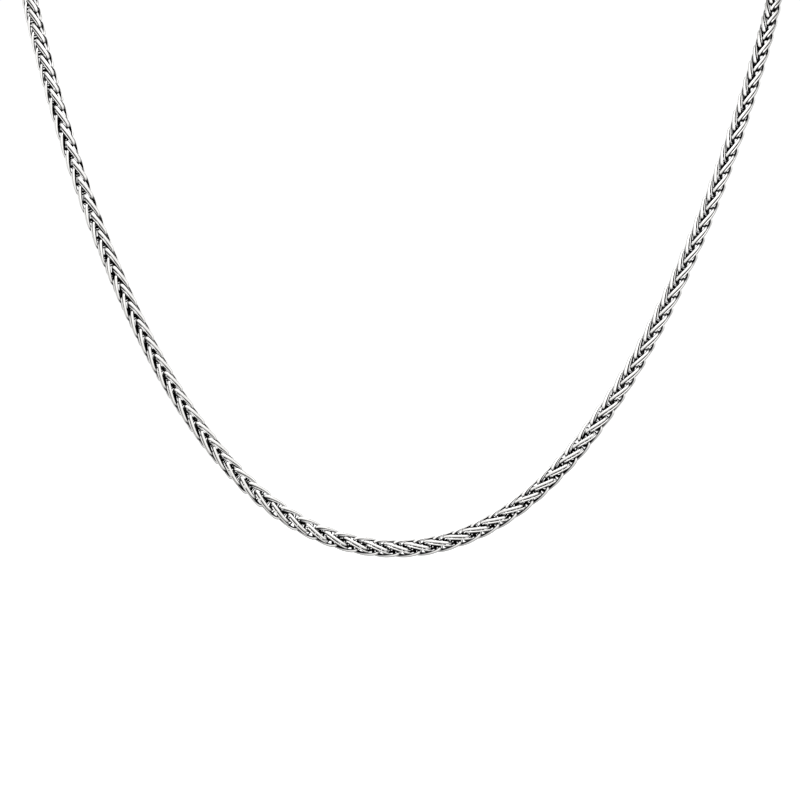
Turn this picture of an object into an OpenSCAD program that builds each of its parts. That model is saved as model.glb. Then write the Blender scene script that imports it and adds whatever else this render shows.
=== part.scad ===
// Foxtail chain: a closed neck chain that keeps the form it hangs in when it is worn.
// Millimetres, +Z up, front towards -Y. The origin is the middle of the clasp, at the nape.

/* [Chain] */
// Width across the chain
chain_w = 3.2; // [2.6:0.1:3.4]
// Distance between two rings of the swept tube
ring_step = 7; // [7:0.5:10]

/* [End caps] */
// Outer diameter of a cap
cap_d = 4.6; // [4.2:0.1:5.2]
// Room around the chain inside a cap
cap_play = 0.2; // [0.1:0.05:0.3]
// Length of a cap without its loop
cap_len = 6.1; // [5:0.1:7]
// Thickness of the wire of a cap's loop
loop_wire = 0.9; // [0.7:0.1:1]

/* [Clasp] */
// Thickness of the bar that the claw is bent from
claw_bar = 1.4; // [1:0.1:1.6]
// Width of the claw
claw_w = 5.4; // [5:0.1:6]
// Length of the claw's straight sides
claw_side = 4.1; // [3:0.1:5]
// Thickness of the wire of the tail eye
eye_wire = 1; // [0.8:0.1:1.1]

/* [Hidden] */
$fn = 48;

SILVER = [0.78, 0.78, 0.78];
DARK_SILVER = [0.52, 0.53, 0.55];

// Right half of the route that the chain hangs in, from the lowest point to the clasp.
// Each row is a control point: across, depth, height. The curve runs just inside them.
HALF_ROUTE = [
    [0, -105.5, -131.5],
    [11, -105.5, -130],
    [22.5, -104.5, -124.5],
    [33.5, -102.5, -114.5],
    [44.5, -99.5, -99.5],
    [55, -95, -79.5],
    [64.5, -89.5, -56],
    [71.5, -82, -34.5],
    [77, -70.5, -17],
    [78.5, -55, -6],
    [73.5, -38, 0],
    [62, -22, 2],
    [48, -10, 1.5],
    [34, -2.5, 0.5],
    [22, 0, 0],
    [17.5, 0, 0],
    [13.5, 0, 0],
    [9.5, 0, 0],
    [5.5, 0, 0]
];
// Where the chain's end face lies, beside the middle of the clasp
CHAIN_END_X = 9.5;
TUBE_SIDES = 8;
SAMPLES_PER_SPAN = 12;
// No stretch of the route runs along this direction, so every ring can be turned by it
RING_UP = [0, -1, 1] / sqrt(2);
// Gap between metal pieces that hang in each other
LINK_GAP = 0.15;
// Part of a soldered loop that lies inside the piece it is soldered to
SOLDER_DEPTH = 0.35;
LOOP_R = 1.6;
EYE_R = 1.5;

// The whole route, from the left end to the right end
last = len(HALF_ROUTE) - 1;
ROUTE = [
    for (i = [-last : last])
        let (p = HALF_ROUTE[abs(i)]) [i < 0 ? -p.x : p.x, p.y, p.z]
];
SPANS = len(ROUTE) - 3;

// Uniform cubic B-spline through the route's control points; u counts spans
function spline(u) =
    let (k = min(floor(u), SPANS - 1), t = u - k)
    (pow(1 - t, 3) * ROUTE[k]
        + (3 * pow(t, 3) - 6 * t * t + 4) * ROUTE[k + 1]
        + (3 * t * (1 + t - t * t) + 1) * ROUTE[k + 2]
        + pow(t, 3) * ROUTE[k + 3]) / 6;

samples = [for (i = [0 : SPANS * SAMPLES_PER_SPAN]) spline(i / SAMPLES_PER_SPAN)];
// Rows of length so far and span, which turn a length along the chain into a span
length_rows = [
    for (
        i = 0, s = 0;
        i < len(samples);
        i = i + 1, s = i < len(samples) ? s + norm(samples[i] - samples[i - 1]) : s
    ) [s, i / SAMPLES_PER_SPAN]
];
chain_length = length_rows[len(length_rows) - 1][0];
ring_count = floor(chain_length / ring_step);

// Point on the route at a length from the left end, and the way the route runs there
function route_at(s) = spline(lookup(s, length_rows));
function route_way(s) =
    let (
        back = max(s - 0.5, 0),
        fore = min(s + 0.5, chain_length),
        way = route_at(fore) - route_at(back)
    ) way / norm(way);

// One ring of the tube, square to the route
function tube_ring(s) =
    let (
        middle = route_at(s),
        way = route_way(s),
        side = cross(way, RING_UP) / norm(cross(way, RING_UP)),
        up = cross(side, way)
    ) [
        for (k = [0 : TUBE_SIDES - 1])
            let (angle = (k + 0.5) * 360 / TUBE_SIDES)
            middle + chain_w / 2 * (cos(angle) * side + sin(angle) * up)
    ];

// Tube in the chain's outer form, one solid from cap to cap
module chain() {
    rings = [for (i = [0 : ring_count]) tube_ring(chain_length * i / ring_count)];
    walls = [
        for (i = [0 : ring_count - 1], k = [0 : TUBE_SIDES - 1])
            let (a = i * TUBE_SIDES, b = a + TUBE_SIDES, next = (k + 1) % TUBE_SIDES)
            [a + k, b + k, b + next, a + next]
    ];
    start = [for (k = [0 : TUBE_SIDES - 1]) k];
    finish = [for (k = [TUBE_SIDES - 1 : -1 : 0]) ring_count * TUBE_SIDES + k];
    color(DARK_SILVER)
        polyhedron(points = [for (ring = rings) each ring], faces = concat(walls, [start, finish]));
}

// The tail eye and the claw's bend each hang in a cap's loop, a small gap clear of its wire
claw_bend_r = (claw_w - claw_bar) / 2;
eye_to_claw = EYE_R + (eye_wire + claw_bar) / 2 - SOLDER_DEPTH + claw_bend_r;
clasp_span = EYE_R + eye_to_claw + claw_side + claw_bend_r;
// Middle of each cap's loop, beside the middle of the clasp
loop_x = (clasp_span + 2 * LOOP_R - loop_wire - (eye_wire + claw_bar) / 2) / 2 - LINK_GAP;
eye_x = -loop_x + LOOP_R - (loop_wire + eye_wire) / 2 - LINK_GAP + EYE_R;
cap_tip_x = loop_x + LOOP_R + loop_wire / 2 - SOLDER_DEPTH;
bore_r = chain_w / 2 + cap_play;
LIP_R = 0.3;
DOME_R = 1.4;

// Ring of round wire about the Z axis, or the part of one that an angle gives
module wire_ring(ring_r, wire, angle = 360) {
    rotate_extrude(angle = angle) translate([ring_r, 0]) circle(d = wire);
}

// Half of a cap's section: a domed cup with a rolled lip, bored from its mouth
module cap_section() {
    floor_height = CHAIN_END_X - cap_play - cap_tip_x;
    difference() {
        union() {
            square([cap_d / 2 - DOME_R, cap_len]);
            translate([0, DOME_R]) square([cap_d / 2, cap_len - DOME_R]);
            translate([cap_d / 2 - DOME_R, DOME_R]) circle(DOME_R);
            translate([cap_d / 2 - LIP_R / 2, cap_len - LIP_R]) circle(LIP_R);
        }
        translate([0, floor_height]) square([bore_r, cap_len]);
        translate([-cap_d, 0]) square([cap_d, cap_len]);
    }
}

// Cup over the chain's end, with the loop that is soldered to its dome
module end_cap() {
    color(SILVER) {
        translate([cap_tip_x, 0, 0]) rotate([0, 90, 0]) rotate_extrude() cap_section();
        translate([loop_x, 0, 0]) wire_ring(LOOP_R, loop_wire);
    }
}

module end_cap_left() {
    mirror([1, 0, 0]) end_cap();
}

module end_cap_right() {
    end_cap();
}

// Plain closed clasp: a bent claw and its tail eye in one piece, standing square to the loops
module clasp() {
    color(SILVER) {
        translate([eye_x, 0, 0]) rotate([90, 0, 0]) wire_ring(EYE_R, eye_wire);
        translate([eye_x + eye_to_claw, 0, 0]) rotate([90, 0, 0]) {
            rotate([0, 0, 90]) wire_ring(claw_bend_r, claw_bar, 180);
            translate([claw_side, 0, 0]) rotate([0, 0, -90]) wire_ring(claw_bend_r, claw_bar, 180);
            for (side = [-1, 1])
                translate([0, side * claw_bend_r, 0]) rotate([0, 90, 0])
                    cylinder(d = claw_bar, h = claw_side);
        }
    }
}

chain();
end_cap_left();
end_cap_right();
clasp();
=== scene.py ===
from bisect import bisect_right
from math import atan2, copysign, cos, hypot, pi, radians, sin

import bmesh
import bpy
from mathutils import Matrix, Vector


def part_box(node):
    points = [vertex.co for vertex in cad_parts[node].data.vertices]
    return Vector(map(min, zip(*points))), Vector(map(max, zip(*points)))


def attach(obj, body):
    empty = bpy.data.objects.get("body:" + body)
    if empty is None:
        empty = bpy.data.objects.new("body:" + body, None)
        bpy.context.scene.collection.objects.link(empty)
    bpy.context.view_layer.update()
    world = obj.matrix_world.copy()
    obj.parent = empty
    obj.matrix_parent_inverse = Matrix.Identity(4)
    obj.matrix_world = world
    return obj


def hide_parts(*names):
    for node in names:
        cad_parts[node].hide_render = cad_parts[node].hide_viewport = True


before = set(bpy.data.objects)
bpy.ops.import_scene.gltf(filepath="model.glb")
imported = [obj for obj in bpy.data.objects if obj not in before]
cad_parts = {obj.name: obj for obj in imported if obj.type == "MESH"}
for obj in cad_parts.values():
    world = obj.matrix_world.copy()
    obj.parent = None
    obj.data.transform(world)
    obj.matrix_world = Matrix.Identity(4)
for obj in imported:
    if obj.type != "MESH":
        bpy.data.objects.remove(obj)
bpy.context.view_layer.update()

# Foxtail chain. Oval rings are bent from round silver wire, closed one inside the next in
# pairs, and drawn through a plate, which lays the pairs over in turn to the left and to the
# right and rubs their outsides broad. The rings stand for the tube that the CAD holds.
MM = 0.001

# Right half of the route, from the lowest point to the clasp, as the CAD's tube has it: each
# row is a control point in millimetres, across, depth and height.
HALF_ROUTE = (
    (0, -105.5, -131.5),
    (11, -105.5, -130),
    (22.5, -104.5, -124.5),
    (33.5, -102.5, -114.5),
    (44.5, -99.5, -99.5),
    (55, -95, -79.5),
    (64.5, -89.5, -56),
    (71.5, -82, -34.5),
    (77, -70.5, -17),
    (78.5, -55, -6),
    (73.5, -38, 0),
    (62, -22, 2),
    (48, -10, 1.5),
    (34, -2.5, 0.5),
    (22, 0, 0),
    (17.5, 0, 0),
    (13.5, 0, 0),
    (9.5, 0, 0),
    (5.5, 0, 0),
)
ROUTE = [Vector((-x, y, z)) for x, y, z in reversed(HALF_ROUTE[1:])]
ROUTE += [Vector(point) for point in HALF_ROUTE]
SPANS = len(ROUTE) - 3
SAMPLES_PER_SPAN = 12


def spline(spans):
    """Point on the route, a uniform cubic B-spline, at a count of its spans."""
    first = min(int(spans), SPANS - 1)
    t = spans - first
    return (
        (1 - t) ** 3 * ROUTE[first]
        + (3 * t**3 - 6 * t * t + 4) * ROUTE[first + 1]
        + (3 * t * (1 + t - t * t) + 1) * ROUTE[first + 2]
        + t**3 * ROUTE[first + 3]
    ) / 6


samples = [spline(i / SAMPLES_PER_SPAN) for i in range(SPANS * SAMPLES_PER_SPAN + 1)]
lengths = [0.0]
for before, after in zip(samples, samples[1:]):
    lengths.append(lengths[-1] + (after - before).length)
chain_length = lengths[-1]


def route_at(length):
    """Point on the route at a length in millimetres from the left end."""
    i = min(max(bisect_right(lengths, length) - 1, 0), len(lengths) - 2)
    share = (length - lengths[i]) / (lengths[i + 1] - lengths[i])
    return spline((i + share) / SAMPLES_PER_SPAN)


# The chain has turned a little about itself on its way from cap to cap: rows of length from
# the left end in millimetres and the turn there in degrees.
TURNS = (
    (0, 35),
    (134, 35),
    (156, 26),
    (186, 13),
    (206, 12),
    (226, 16),
    (246, 2),
    (266, -14),
    (286, -20),
    (306, -16),
    (326, -4),
    (366, -9),
    (386, -12),
    (540, -12),
)


def eased(share):
    """A share from 0 to 1, which starts and ends slowly."""
    return share * share * (3 - 2 * share)


def turn_at(length):
    """How far the chain has turned about itself at a length, in radians."""
    for (start, turn), (end, next_turn) in zip(TURNS, TURNS[1:]):
        if length <= end:
            share = (length - start) / (end - start)
            return radians(turn + (next_turn - turn) * eased(share))


# No stretch of the route runs along this direction, so the turn is measured from it
RING_UP = Vector((0, -1, 1)).normalized()
# The route's way is taken between two points this far before and behind
LOOK_ROUND = 0.5


def across_route(length):
    """The point on the route and the two directions that the chain's turn is measured in."""
    back = route_at(max(length - LOOK_ROUND, 0))
    fore = route_at(min(length + LOOK_ROUND, chain_length))
    way = (fore - back).normalized()
    side = way.cross(RING_UP).normalized()
    return route_at(length), side.cross(way), side


# Four rings make one repeat: a pair that leans to the left and, half a repeat further on, a
# pair that leans to the right. In each pair the first ring stands proud, and the second, of
# thinner wire, nests beside its flank. A ring is an oval that is laid over along its length.
REPEATS = 134
# Room before the first ring and after the last one, in millimetres as all lengths here
FIRST_RING = 0.65
END_ROOM = 0.65
# How far along a ring nests beside its mate, and how many degrees each is laid over
NEST = 0.486
LAY_OVER = 69.4
# The last ring starts about half a repeat and one nest late, and is ring_length long
repeat = (chain_length - FIRST_RING - END_ROOM - 3 * NEST) / (REPEATS + 0.5)
ring_length = repeat + 2 * NEST

# Which way a ring leans, its place within the repeat, the angle where it starts, its wire
# and outer radius, and how well a polishing cloth reaches it
LEFT_PAIR = (
    dict(lean=1, place=0, start=5.7, wire=0.57, outer_r=1.66, rubbed=1),
    dict(lean=1, place=0.479, start=35.3, wire=0.32, outer_r=1.60, rubbed=0.9),
)
RIGHT_PAIR = (
    dict(lean=-1, place=repeat / 2 + 0.073, start=2.5, wire=0.70, outer_r=1.76, rubbed=1),
    dict(lean=-1, place=repeat / 2 + 0.551, start=-15, wire=0.22, outer_r=1.46, rubbed=0.9),
)
# Distance from the chain's middle that counts as fully proud
PROUD_R = 1.65

# 2 gives an ellipse, and more fills its corners out
OVAL_POWER = 5.04


def rounded(value):
    """A sine or cosine pushed outwards, so that a circle of them becomes a full oval."""
    return copysign(abs(value) ** (2 / OVAL_POWER), value)


def oval_in_space(share, kind):
    """Middle of the wire at a share of the way round the ring, and the lay there."""
    along = ring_length / 2 * (1 - rounded(cos(2 * pi * share)))
    across = (kind["outer_r"] - kind["wire"] / 2) * rounded(sin(2 * pi * share))
    lay = kind["lean"] * radians(kind["start"] + LAY_OVER * along / ring_length)
    return Vector((along, across * cos(lay), across * sin(lay))), lay


# A ring is first spun at this radius, from a square whose corners lie 1 from its middle
SPIN_R = 4.0
SECTION_SIDES = 4
RING_STEPS = 20
# One level of subdivision draws a square section in to this share of its corner
SMOOTHED = 0.73
# The wire's way is taken between two points this share of the ring before and behind
NEARBY = 1e-4


def ring_form(kind):
    """A bmesh of one ring along the X axis, spun from its wire's section and then laid over."""
    bm = bmesh.new()
    facing = bm.verts.layers.float.new("facing")
    section = bmesh.ops.create_circle(bm, segments=SECTION_SIDES, radius=1)["verts"]
    half_side = Matrix.Rotation(pi / SECTION_SIDES, 4, "Z")
    upright = Matrix.Rotation(radians(90), 4, "X") @ half_side
    bmesh.ops.transform(bm, matrix=Matrix.Translation((SPIN_R, 0, 0)) @ upright, verts=section)
    bmesh.ops.spin(
        bm, geom=bm.verts[:] + bm.edges[:], cent=(0, 0, 0), axis=(0, 0, 1), angle=2 * pi,
        steps=RING_STEPS, use_merge=True,
    )
    for vert in bm.verts:
        share = (atan2(vert.co.y, vert.co.x) / (2 * pi)) % 1
        outward = hypot(vert.co.x, vert.co.y) - SPIN_R
        sideways = vert.co.z
        middle, lay = oval_in_space(share, kind)
        fore = oval_in_space(share + NEARBY, kind)[0]
        back = oval_in_space(share - NEARBY, kind)[0]
        way = (fore - back).normalized()
        broad = Vector((0, -sin(lay), cos(lay)))
        broad = (broad - broad.dot(way) * way).normalized()
        offset = outward * broad.cross(way) + sideways * broad
        vert.co = middle + kind["wire"] / 2 / SMOOTHED * offset
        from_middle = Vector((0, vert.co.y, vert.co.z)).normalized()
        vert[facing] = offset.normalized().dot(from_middle)
    return bm


# The caps hold the chain drawn in over the first of these lengths, and it spreads to its
# full width over the second
HELD = 6
SPREADING = 8
SPREAD = 1.07


def spread_at(length):
    """How many times its drawn-in width the chain has at a length."""
    from_end = min(length, chain_length - length)
    share = min(max((from_end - HELD) / SPREADING, 0), 1)
    return 1 + (SPREAD - 1) * eased(share)


def chain_of_rings(name, pair, first, last):
    """The rings of a pair in a run of repeats, placed along the route as one mesh."""
    bm = bmesh.new()
    reach = bm.verts.layers.float.new("reach")
    for kind in pair:
        form = ring_form(kind)
        points = [vert.co.copy() for vert in form.verts]
        mesh = bpy.data.meshes.new("ring")
        form.to_mesh(mesh)
        form.free()
        for number in range(first, last):
            start = FIRST_RING + number * repeat + kind["place"]
            count = len(bm.verts)
            bm.from_mesh(mesh)
            bm.verts.ensure_lookup_table()
            for i, point in enumerate(points):
                length = start + point.x
                middle, up, side = across_route(length)
                turn = turn_at(length)
                toward = cos(turn) * up + sin(turn) * side
                beside = -sin(turn) * up + cos(turn) * side
                out = spread_at(length) * (point.y * toward + point.z * beside)
                vert = bm.verts[count + i]
                vert.co = (middle + out) * MM
                vert[reach] = kind["rubbed"] * hypot(point.y, point.z) / PROUD_R
        bpy.data.meshes.remove(mesh)
    # The rings have moved since their normals were worked out
    bm.normal_update()
    bmesh.ops.recalc_face_normals(bm, faces=bm.faces)
    for face in bm.faces:
        face.smooth = True
    mesh = bpy.data.meshes.new(name)
    bm.to_mesh(mesh)
    bm.free()
    rings = bpy.data.objects.new(name, mesh)
    bpy.context.scene.collection.objects.link(rings)
    finish = rings.modifiers.new("round", "SUBSURF")
    finish.levels = 1
    finish.render_levels = 1
    return rings


def linear(colour):
    """A hex colour in sRGB as the linear values that Blender takes."""
    parts = [int(colour[i : i + 2], 16) / 255 for i in (1, 3, 5)]
    return [p / 12.92 if p <= 0.04045 else ((p + 0.055) / 1.055) ** 2.4 for p in parts] + [1]


def add(tree, kind, settings=(), links=()):
    """A node of a kind, with its settings and the links into it."""
    node = tree.nodes.new(kind)
    for key, value in dict(settings).items():
        if isinstance(key, str) and hasattr(node, key):
            setattr(node, key, value)
        else:
            node.inputs[key].default_value = value
    for key, output in dict(links).items():
        tree.links.new(output, node.inputs[key])
    return node


# A cloth begins to touch a wire at the first of these shares of the proud radius, and rubs
# it bright from the second
TOUCHED = 0.67
BRIGHT = 0.82
# The same for how squarely its surface looks outwards, as a cosine
SHELTERED = -0.2
OPEN = 0.45


def oxidised_silver():
    """Sterling silver, oxidised black all over and then rubbed: bright where a cloth reaches,
    grey down the wires' flanks and black between them, where the sulphide stays."""
    material = bpy.data.materials.new("oxidised_silver")
    material.use_nodes = True
    tree = material.node_tree
    shader = tree.nodes["Principled BSDF"]
    reach = add(tree, "ShaderNodeAttribute", {"attribute_name": "reach"})
    high = add(
        tree, "ShaderNodeMapRange",
        {"interpolation_type": "SMOOTHSTEP", "From Min": TOUCHED, "From Max": BRIGHT},
        {"Value": reach.outputs["Fac"]},
    )
    facing = add(tree, "ShaderNodeAttribute", {"attribute_name": "facing"})
    open_side = add(
        tree, "ShaderNodeMapRange",
        {"interpolation_type": "SMOOTHSTEP", "From Min": SHELTERED, "From Max": OPEN},
        {"Value": facing.outputs["Fac"]},
    )
    worn = add(
        tree, "ShaderNodeMath", {"operation": "MULTIPLY"},
        {0: high.outputs["Result"], 1: open_side.outputs["Result"]},
    )
    # Black sulphide, then the grey of a half-rubbed film, then bare silver
    colour = add(tree, "ShaderNodeValToRGB", {}, {"Fac": worn.outputs["Value"]})
    ramp = colour.color_ramp
    ramp.elements[0].color = linear("#0c0c0d")
    ramp.elements[1].color = linear("#f4f3f1")
    half_rubbed = ramp.elements.new(0.45)
    half_rubbed.color = linear("#8c8c8e")
    # Sulphide is matt, and the cloth leaves the silver satin
    rough = add(
        tree, "ShaderNodeMapRange", {"To Min": 0.5, "To Max": 0.16},
        {"Value": worn.outputs["Value"]},
    )
    tree.links.new(colour.outputs["Color"], shader.inputs["Base Color"])
    tree.links.new(rough.outputs["Result"], shader.inputs["Roughness"])
    shader.inputs["Metallic"].default_value = 1
    return material


chain_silver = oxidised_silver()
HALFWAY = REPEATS // 2
for name, pair, first, last in (
    ("left_leaning_rings_left_half", LEFT_PAIR, 0, HALFWAY),
    ("left_leaning_rings_right_half", LEFT_PAIR, HALFWAY, REPEATS),
    ("right_leaning_rings_left_half", RIGHT_PAIR, 0, HALFWAY),
    ("right_leaning_rings_right_half", RIGHT_PAIR, HALFWAY, REPEATS),
):
    rings = chain_of_rings(name, pair, first, last)
    rings.data.materials.append(chain_silver)
    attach(rings, "root")
    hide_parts("chain")


# End caps and clasp. Each cap is a spun cup of sterling silver with a rolled lip and a
# soldered wire loop, and the clasp a claw and tail eye of drawn wire, closed over the loops.
# All are barrel-polished bright, and a film of sulphide stays where they hang in each other.
FITTINGS = ("end_cap_left", "end_cap_right", "clasp")
# The loops and the clasp overlap from the loops' inner ends to the clasp's outer ends
hang_x = (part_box("end_cap_right")[0].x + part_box("clasp")[1].x) / 2
# Steel shot leaves dimples about this broad, which break a highlight up a little
DIMPLE = 0.4 * MM
DIMPLE_DEPTH = 0.02 * MM
# Hairline scuffs of 0.02 mm are drawn this broad, as far as a close view can show them
SCUFF = 0.1 * MM
# The film is full this near to where the pieces hang, and has worn off this far from there
FILM_FULL = 0.3 * MM
FILM_ENDS = 2 * MM


def polished_silver():
    """Barrel-polished silver: a bright mirror, softened by faint dimples and scuffs."""
    material = bpy.data.materials.new("barrel_polished_silver")
    material.use_nodes = True
    tree = material.node_tree
    shader = tree.nodes["Principled BSDF"]
    place = add(tree, "ShaderNodeTexCoord").outputs["Object"]
    dimples = add(
        tree, "ShaderNodeTexNoise", {"Scale": 1 / DIMPLE, "Detail": 2}, {"Vector": place}
    ).outputs["Fac"]
    # The scuffs run along the chain, so their pattern is drawn out that way
    along = add(tree, "ShaderNodeMapping", {"Scale": (0.15, 1, 1)}, {"Vector": place})
    scuffs = add(
        tree, "ShaderNodeTexNoise", {"Scale": 1 / SCUFF, "Detail": 1},
        {"Vector": along.outputs["Vector"]},
    ).outputs["Fac"]
    x = add(tree, "ShaderNodeSeparateXYZ", {}, {"Vector": place}).outputs["X"]
    aside = add(tree, "ShaderNodeMath", {"operation": "ABSOLUTE"}, {0: x}).outputs["Value"]
    off_joint = add(tree, "ShaderNodeMath", {"operation": "SUBTRACT", 1: hang_x}, {0: aside})
    distance = add(
        tree, "ShaderNodeMath", {"operation": "ABSOLUTE"}, {0: off_joint.outputs["Value"]}
    ).outputs["Value"]
    near = add(
        tree, "ShaderNodeMapRange",
        {"interpolation_type": "SMOOTHSTEP", "From Min": FILM_FULL, "From Max": FILM_ENDS,
         "To Min": 1, "To Max": 0},
        {"Value": distance},
    ).outputs["Result"]
    # The film has worn off in patches as small as the dimples
    patchy = add(
        tree, "ShaderNodeMapRange", {"From Min": 0.25, "From Max": 0.75}, {"Value": dimples}
    ).outputs["Result"]
    film = add(tree, "ShaderNodeMath", {"operation": "MULTIPLY"}, {0: near, 1: patchy})
    colour = add(tree, "ShaderNodeValToRGB", {}, {"Fac": film.outputs["Value"]})
    colour.color_ramp.elements[0].color = linear("#dfdedb")
    colour.color_ramp.elements[1].color = linear("#9d9a96")
    # From a mirror polish to the satin of the scuffs
    rough = add(
        tree, "ShaderNodeMapRange",
        {"From Min": 0.35, "From Max": 0.7, "To Min": 0.1, "To Max": 0.26}, {"Value": scuffs},
    )
    bump = add(
        tree, "ShaderNodeBump", {"Strength": 0.25, "Distance": DIMPLE_DEPTH},
        {"Height": dimples},
    )
    tree.links.new(colour.outputs["Color"], shader.inputs["Base Color"])
    tree.links.new(rough.outputs["Result"], shader.inputs["Roughness"])
    tree.links.new(bump.outputs["Normal"], shader.inputs["Normal"])
    shader.inputs["Metallic"].default_value = 1
    return material


fittings_silver = polished_silver()
for name in FITTINGS:
    for slot in bpy.data.objects[name].material_slots:
        slot.material = fittings_silver


# Pale floor of matt white paper, which gives back light evenly and without gloss. It lies
# 5 mm below the chain, too far for a hard line of shadow, and the silver doesn't mirror it.
FLOOR_Z = -0.138
FLOOR_HALF = 3
bm = bmesh.new()
bmesh.ops.create_grid(bm, x_segments=1, y_segments=1, size=FLOOR_HALF)
bmesh.ops.translate(bm, vec=(0, 0, FLOOR_Z), verts=bm.verts)
mesh = bpy.data.meshes.new("floor")
bm.to_mesh(mesh)
bm.free()
floor = bpy.data.objects.new("floor", mesh)
bpy.context.scene.collection.objects.link(floor)
floor.visible_glossy = False
paper = bpy.data.materials.new("white_paper")
paper.use_nodes = True
shader = paper.node_tree.nodes["Principled BSDF"]
shader.inputs["Base Color"].default_value = linear("#ffffff")
shader.inputs["Roughness"].default_value = 0.9
shader.inputs["Specular IOR Level"].default_value = 0
mesh.materials.append(paper)

# Plain soft studio light from a white room. The room that silver mirrors is brightest in
# front, and darker behind and below, so that bright silver keeps its form from all sides.
ROOM = 1.05
MIRRORED_FRONT = 1.12
MIRRORED_BACK = 0.6
MIRRORED_BELOW = 0.55
world = bpy.data.worlds.new("studio")
bpy.context.scene.world = world
world.use_nodes = True
tree = world.node_tree
around = tree.nodes["Background"]
around.inputs["Color"].default_value = linear("#ffffff")
way = add(tree, "ShaderNodeTexCoord").outputs["Generated"]
parts = add(tree, "ShaderNodeSeparateXYZ", {}, {"Vector": way}).outputs
# Y and Z of the way that a mirrored ray takes, from -1 to 1
behind = add(
    tree, "ShaderNodeMapRange",
    {"From Min": -0.8, "From Max": 0.5, "To Min": MIRRORED_FRONT, "To Max": MIRRORED_BACK},
    {"Value": parts["Y"]},
).outputs["Result"]
below = add(
    tree, "ShaderNodeMapRange",
    {"From Min": -0.8, "From Max": 0.1, "To Min": MIRRORED_BELOW, "To Max": 1.0},
    {"Value": parts["Z"]},
).outputs["Result"]
seen = add(tree, "ShaderNodeMath", {"operation": "MULTIPLY"}, {0: behind, 1: below})
mirrored = add(tree, "ShaderNodeLightPath").outputs["Is Glossy Ray"]
strength = add(
    tree, "ShaderNodeMapRange", {"To Min": ROOM},
    {"Value": mirrored, "To Max": seen.outputs["Value"]},
)
tree.links.new(strength.outputs["Result"], around.inputs["Strength"])

# Four soft boxes stand round the chain and point at the middle of its hanging front
AIM = Vector((0, -0.09, -0.08))


def soft_box(name, place, size, glow):
    """A square soft box of a size in metres, as bright to look at as glow times white."""
    lamp = bpy.data.lights.new(name, "AREA")
    lamp.shape = "SQUARE"
    lamp.size = size
    lamp.energy = glow * pi * size * size
    light = bpy.data.objects.new(name, lamp)
    light.location = place
    light.rotation_euler = (AIM - Vector(place)).to_track_quat("-Z", "Y").to_euler()
    bpy.context.scene.collection.objects.link(light)


soft_box("top", (0.1, -0.35, 0.7), size=0.9, glow=1.0)
soft_box("left", (-0.9, -0.7, 0.1), size=0.5, glow=0.4)
soft_box("right", (0.9, -0.7, 0.2), size=0.5, glow=0.4)
soft_box("back", (0, 0.9, 0.1), size=0.7, glow=0.6)

# Camera straight in front, level with a point 30 mm above the chain's lowest, and rolled a
# little. Its lens comes from the size of a pixel at the lowest point.
PIXEL = 0.1925 * MM
IMAGE_WIDTH = 800
CAMERA_DISTANCE = 0.6
CAMERA_X = 0.0011
CAMERA_Z = -0.1024
CAMERA_ROLL = -0.9
lowest_y = HALF_ROUTE[0][1] * MM
camera = bpy.data.cameras.new("camera")
camera.sensor_width = 36
camera.lens = camera.sensor_width * CAMERA_DISTANCE / (IMAGE_WIDTH * PIXEL)
view = bpy.data.objects.new("camera", camera)
view.location = (CAMERA_X, lowest_y - CAMERA_DISTANCE, CAMERA_Z)
view.rotation_euler = (radians(90), radians(CAMERA_ROLL), 0)
bpy.context.scene.collection.objects.link(view)
bpy.context.scene.camera = view
bpy.context.scene.view_settings.view_transform = "Standard"
